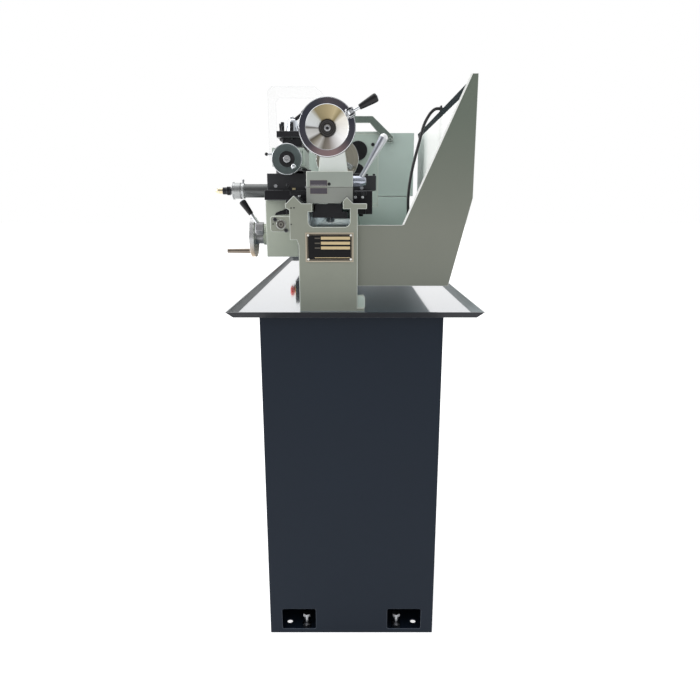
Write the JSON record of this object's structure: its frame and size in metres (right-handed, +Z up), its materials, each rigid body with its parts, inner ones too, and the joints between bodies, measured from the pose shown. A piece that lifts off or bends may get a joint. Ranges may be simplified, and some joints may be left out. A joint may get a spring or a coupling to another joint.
{
  "type": "bench lathe",
  "caption": "Metal turning lathe on a two-cabinet stand with chip tray, splash guard, chuck, carriage, compound and tailstock.",
  "frame": {"origin": "centre of the floor bolt holes, on the floor", "axes": "+X along the spindle axis towards the tailstock, +Y towards the splash guard, +Z up"},
  "size_m": [1.44, 0.64, 1.437],
  "materials": {
    "stand_paint": "satin blue-grey paint",
    "green_paint": "smooth grey-green paint",
    "bed_iron": "painted casting with ground ways",
    "black_iron": "blackened and ground",
    "steel": "turned",
    "chrome": "polished",
    "black_plastic": "moulded",
    "red_plastic": "moulded",
    "green_plastic": "moulded",
    "clear_sheet": "clear polycarbonate",
    "bronze": "machined",
    "belt_rubber": "moulded",
    "plate_black": "anodised, with a brass-coloured border"
  },
  "bodies": {
    "frame": {"stand_cabinet_right": "stand_paint", "stand_cabinet_left": "stand_paint", "frame_fasteners": "steel", "chip_tray": "stand_paint", "splash_guard": "green_paint", "bed": "bed_iron", "nameplate": "plate_black", "leadscrew_brackets": "green_paint", "rack": "steel", "headstock": "green_paint", "headstock_cover": "green_paint", "spindle_bearings": "steel", "motor": "black_iron", "drive_belt": "belt_rubber", "motor_cover": "green_paint", "electric_box": "green_paint", "control_box": "black_plastic", "supply_lead": "belt_rubber", "lead_fittings": "black_plastic"},
    "door_right": {"stand_door_right": "stand_paint"},
    "door_left": {"stand_door_left": "stand_paint"},
    "gear_cover": {"gear_cover": "green_paint"},
    "spindle": {"spindle": "steel", "spindle_gears": "steel", "chuck_body": "steel"},
    "jaw_1": {"chuck_jaw_1": "steel"},
    "jaw_2": {"chuck_jaw_2": "steel"},
    "jaw_3": {"chuck_jaw_3": "steel"},
    "idler_gear": {"idler_gear": "steel"},
    "leadscrew": {"leadscrew": "steel"},
    "motor_pulley": {"motor_pulley": "steel"},
    "chuck_guard": {"chuck_guard_arm": "green_paint", "chuck_guard_shield": "clear_sheet"},
    "emergency_stop": {"emergency_stop": "red_plastic"},
    "start_button": {"start_button": "green_plastic"},
    "speed_knob": {"speed_knob": "black_plastic"},
    "carriage": {"saddle": "black_iron", "saddle_retainers": "black_iron", "apron": "green_paint"},
    "half_nut_upper": {"half_nut_upper": "bronze"},
    "half_nut_lower": {"half_nut_lower": "bronze"},
    "feed_lever": {"feed_lever": "chrome"},
    "apron_handwheel": {"apron_handwheel": "chrome"},
    "rack_pinion": {"rack_pinion": "steel"},
    "cross_slide": {"cross_slide": "black_iron"},
    "cross_feed_screw": {"cross_feed_screw": "steel"},
    "compound_base": {"compound_base": "black_iron"},
    "compound_slide": {"compound_slide": "green_paint"},
    "compound_handwheel": {"compound_handwheel": "steel"},
    "tool_post": {"tool_post": "black_iron", "tool_post_screws": "black_iron"},
    "tool_post_lever": {"tool_post_lever": "chrome"},
    "tailstock": {"tailstock_base": "green_paint", "tailstock_body": "green_paint", "tailstock_clamp_plate": "black_iron"},
    "quill": {"quill": "steel"},
    "tailstock_handwheel": {"tailstock_handwheel": "steel"},
    "tailstock_handle": {"tailstock_handle": "chrome"},
    "quill_lock_lever": {"quill_lock_lever": "steel"},
    "tailstock_clamp_lever": {"tailstock_clamp_lever": "chrome"}
  },
  "joints": [
    {"name": "door_right_swing", "type": "hinge", "parent": "frame", "child": "door_right", "pos_m": [0.6695, -0.2, 0.4], "axis": [0, 0, 1], "range_deg": [0, 110]},
    {"name": "door_left_swing", "type": "hinge", "parent": "frame", "child": "door_left", "pos_m": [-0.6695, -0.2, 0.4], "axis": [0, 0, 1], "range_deg": [-110, 0]},
    {"name": "gear_cover_swing", "type": "hinge", "parent": "frame", "child": "gear_cover", "pos_m": [-0.552, 0.221, 1.2], "axis": [0, 0, 1], "range_deg": [-85, 0]},
    {"name": "spindle_turn", "type": "hinge", "parent": "frame", "child": "spindle", "pos_m": [-0.3, -0.05, 1.214], "axis": [1, 0, 0], "continuous": true},
    {"name": "jaw_1_slide", "type": "slide", "parent": "spindle", "child": "jaw_1", "axis": [0, 0, 1], "range_m": [-0.006, 0.018]},
    {"name": "jaw_2_slide", "type": "slide", "parent": "spindle", "child": "jaw_2", "axis": [0, -0.866, -0.5], "range_m": [-0.006, 0.018]},
    {"name": "jaw_3_slide", "type": "slide", "parent": "spindle", "child": "jaw_3", "axis": [0, 0.866, -0.5], "range_m": [-0.006, 0.018]},
    {"name": "idler_gear_turn", "type": "hinge", "parent": "frame", "child": "idler_gear", "pos_m": [-0.578, -0.08169, 1.10866], "axis": [1, 0, 0], "continuous": true},
    {"name": "leadscrew_turn", "type": "hinge", "parent": "frame", "child": "leadscrew", "pos_m": [0, -0.156, 1.017], "axis": [1, 0, 0], "continuous": true},
    {"name": "motor_pulley_turn", "type": "hinge", "parent": "frame", "child": "motor_pulley", "pos_m": [-0.555, 0.165, 1.18], "axis": [1, 0, 0], "continuous": true},
    {"name": "chuck_guard_lift", "type": "hinge", "parent": "frame", "child": "chuck_guard", "pos_m": [-0.3, 0.139, 1.287], "axis": [1, 0, 0], "range_deg": [-80, 0]},
    {"name": "emergency_stop_press", "type": "slide", "parent": "frame", "child": "emergency_stop", "axis": [0, 1, 0], "range_m": [0, 0.004], "stiffness_N_per_m": 900, "springref_m": -0.002},
    {"name": "start_button_press", "type": "slide", "parent": "frame", "child": "start_button", "axis": [0, 1, 0], "range_m": [0, 0.003], "stiffness_N_per_m": 500, "springref_m": -0.002},
    {"name": "speed_knob_turn", "type": "hinge", "parent": "frame", "child": "speed_knob", "pos_m": [-0.473, -0.225, 0.9225], "axis": [0, -1, 0], "range_deg": [-135, 135]},
    {"name": "carriage_slide", "type": "slide", "parent": "frame", "child": "carriage", "axis": [1, 0, 0], "range_m": [-0.42, 0]},
    {"name": "apron_handwheel_turn", "type": "hinge", "parent": "carriage", "child": "apron_handwheel", "pos_m": [0.35, -0.262, 0.9735], "axis": [0, 1, 0], "continuous": true},
    {"name": "rack_pinion_turn", "type": "hinge", "parent": "carriage", "child": "rack_pinion", "pos_m": [0.39118, -0.186, 0.994], "axis": [0, 1, 0], "continuous": true},
    {"name": "feed_lever_turn", "type": "hinge", "parent": "carriage", "child": "feed_lever", "pos_m": [0.442, -0.228, 1], "axis": [0, 1, 0], "range_deg": [0, 50]},
    {"name": "half_nut_upper_slide", "type": "slide", "parent": "carriage", "child": "half_nut_upper", "axis": [0, 0, 1], "range_m": [-0.009, 0]},
    {"name": "half_nut_lower_slide", "type": "slide", "parent": "carriage", "child": "half_nut_lower", "axis": [0, 0, 1], "range_m": [0, 0.009]},
    {"name": "cross_slide_feed", "type": "slide", "parent": "carriage", "child": "cross_slide", "axis": [0, 1, 0], "range_m": [-0.058, 0.022]},
    {"name": "cross_feed_screw_turn", "type": "hinge", "parent": "carriage", "child": "cross_feed_screw", "pos_m": [0.39, -0.29, 1.0935], "axis": [0, 1, 0], "continuous": true},
    {"name": "compound_swivel", "type": "hinge", "parent": "cross_slide", "child": "compound_base", "pos_m": [0.39, -0.148, 1.14], "axis": [0, 0, 1], "range_deg": [-90, 0]},
    {"name": "compound_slide_feed", "type": "slide", "parent": "compound_base", "child": "compound_slide", "axis": [1, 0, 0], "range_m": [-0.03, 0.01]},
    {"name": "compound_handwheel_turn", "type": "hinge", "parent": "compound_slide", "child": "compound_handwheel", "pos_m": [0.55, -0.148, 1.1607], "axis": [1, 0, 0], "continuous": true},
    {"name": "tool_post_turn", "type": "hinge", "parent": "compound_slide", "child": "tool_post", "pos_m": [0.39, -0.148, 1.215], "axis": [0, 0, 1], "continuous": true},
    {"name": "tool_post_lever_turn", "type": "hinge", "parent": "compound_slide", "child": "tool_post_lever", "pos_m": [0.39, -0.148, 1.25], "axis": [0, 0, 1], "range_deg": [-60, 120]},
    {"name": "tailstock_slide", "type": "slide", "parent": "frame", "child": "tailstock", "axis": [1, 0, 0], "range_m": [-0.025, 0.03]},
    {"name": "quill_feed", "type": "slide", "parent": "tailstock", "child": "quill", "axis": [1, 0, 0], "range_m": [-0.08, 0]},
    {"name": "tailstock_handwheel_turn", "type": "hinge", "parent": "tailstock", "child": "tailstock_handwheel", "pos_m": [0.68, -0.05, 1.214], "axis": [1, 0, 0], "continuous": true},
    {"name": "tailstock_handle_fold", "type": "hinge", "parent": "tailstock_handwheel", "child": "tailstock_handle", "pos_m": [0.704, -0.0027, 1.24006], "axis": [0, 0.4826, -0.8758], "range_deg": [0, 90]},
    {"name": "quill_lock_turn", "type": "hinge", "parent": "tailstock", "child": "quill_lock_lever", "pos_m": [0.505, -0.05, 1.255], "axis": [0, 0, 1], "range_deg": [0, 60]},
    {"name": "tailstock_clamp_turn", "type": "hinge", "parent": "tailstock", "child": "tailstock_clamp_lever", "pos_m": [0.54, 0.015, 1.112], "axis": [0, 1, 0], "range_deg": [0, 75]}
  ],
  "couplings": [
    {"joint": "jaw_2_slide", "follows": "jaw_1_slide", "ratio": 1},
    {"joint": "jaw_3_slide", "follows": "jaw_1_slide", "ratio": 1},
    {"joint": "idler_gear_turn", "follows": "spindle_turn", "ratio": -0.57143},
    {"joint": "leadscrew_turn", "follows": "spindle_turn", "ratio": 0.83333},
    {"joint": "motor_pulley_turn", "follows": "spindle_turn", "ratio": 1.7647},
    {"joint": "rack_pinion_turn", "follows": "carriage_slide", "rad_per_m": -71.429},
    {"joint": "apron_handwheel_turn", "follows": "carriage_slide", "rad_per_m": 202.38},
    {"joint": "half_nut_upper_slide", "follows": "feed_lever_turn", "m_per_rad": -0.010303},
    {"joint": "half_nut_lower_slide", "follows": "feed_lever_turn", "m_per_rad": 0.010303},
    {"joint": "cross_feed_screw_turn", "follows": "cross_slide_feed", "rad_per_m": 1570.8},
    {"joint": "compound_handwheel_turn", "follows": "compound_slide_feed", "rad_per_m": 3141.6},
    {"joint": "tailstock_handwheel_turn", "follows": "quill_feed", "rad_per_m": -1256.6}
  ]
}
